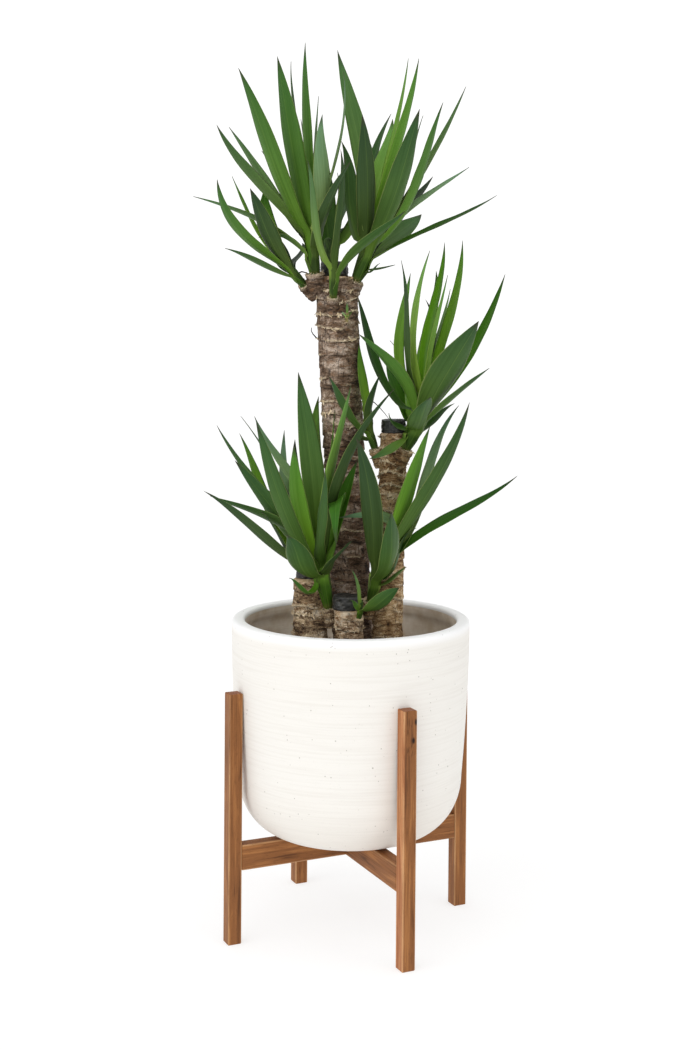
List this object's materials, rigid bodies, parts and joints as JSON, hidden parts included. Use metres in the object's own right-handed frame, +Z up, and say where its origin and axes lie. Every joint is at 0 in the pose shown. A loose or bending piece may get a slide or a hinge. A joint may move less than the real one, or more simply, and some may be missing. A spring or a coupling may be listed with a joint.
{
  "type": "potted yucca",
  "caption": "Potted yucca: bark-covered canes with wax-sealed tops and fans of stiff pointed leaves, in a round off-white pot held in a crossed wooden stand.",
  "frame": {"origin": "on the floor, under the pot's axis; the middle of the object's footprint box", "axes": "+X to the right, +Y away from the front, +Z up"},
  "size_m": [0.4276, 0.3747, 1.1867],
  "materials": {
    "stand_wood": "oiled warm brown wood",
    "dowel_wood": "plain pale wood",
    "pot_ceramic": "matte warm off-white with fine throwing ribs and sparse specks",
    "soil": "dark crumbly potting soil",
    "bark": "rough ringed bark",
    "wax": "lumpy black sealing wax",
    "leaf": "satin green blades with pale edges"
  },
  "bodies": {
    "root": {"leg_left": "stand_wood", "leg_right": "stand_wood", "leg_front": "stand_wood", "leg_back": "stand_wood", "bar_left_right": "stand_wood", "bar_front_back": "stand_wood", "dowel_left_low": "dowel_wood", "dowel_left_high": "dowel_wood", "dowel_right_low": "dowel_wood", "dowel_right_high": "dowel_wood", "dowel_front_low": "dowel_wood", "dowel_front_high": "dowel_wood", "dowel_back_low": "dowel_wood", "dowel_back_high": "dowel_wood", "pot": "pot_ceramic", "soil": "soil", "cane_tall": "bark", "wax_tall": "wax", "cane_middle": "bark", "wax_middle": "wax", "cane_left": "bark", "wax_left": "wax", "cane_front": "bark", "wax_front": "wax", "shoot_top_left": "leaf", "shoot_top_fan": "leaf", "shoot_top_front": "leaf", "shoot_top_right": "leaf", "shoot_top_back": "leaf", "shoot_middle_right": "leaf", "shoot_middle_left": "leaf", "shoot_low_left": "leaf", "shoot_low_right": "leaf", "shoot_low_front": "leaf", "sprout": "leaf"}
  },
  "joints": []
}
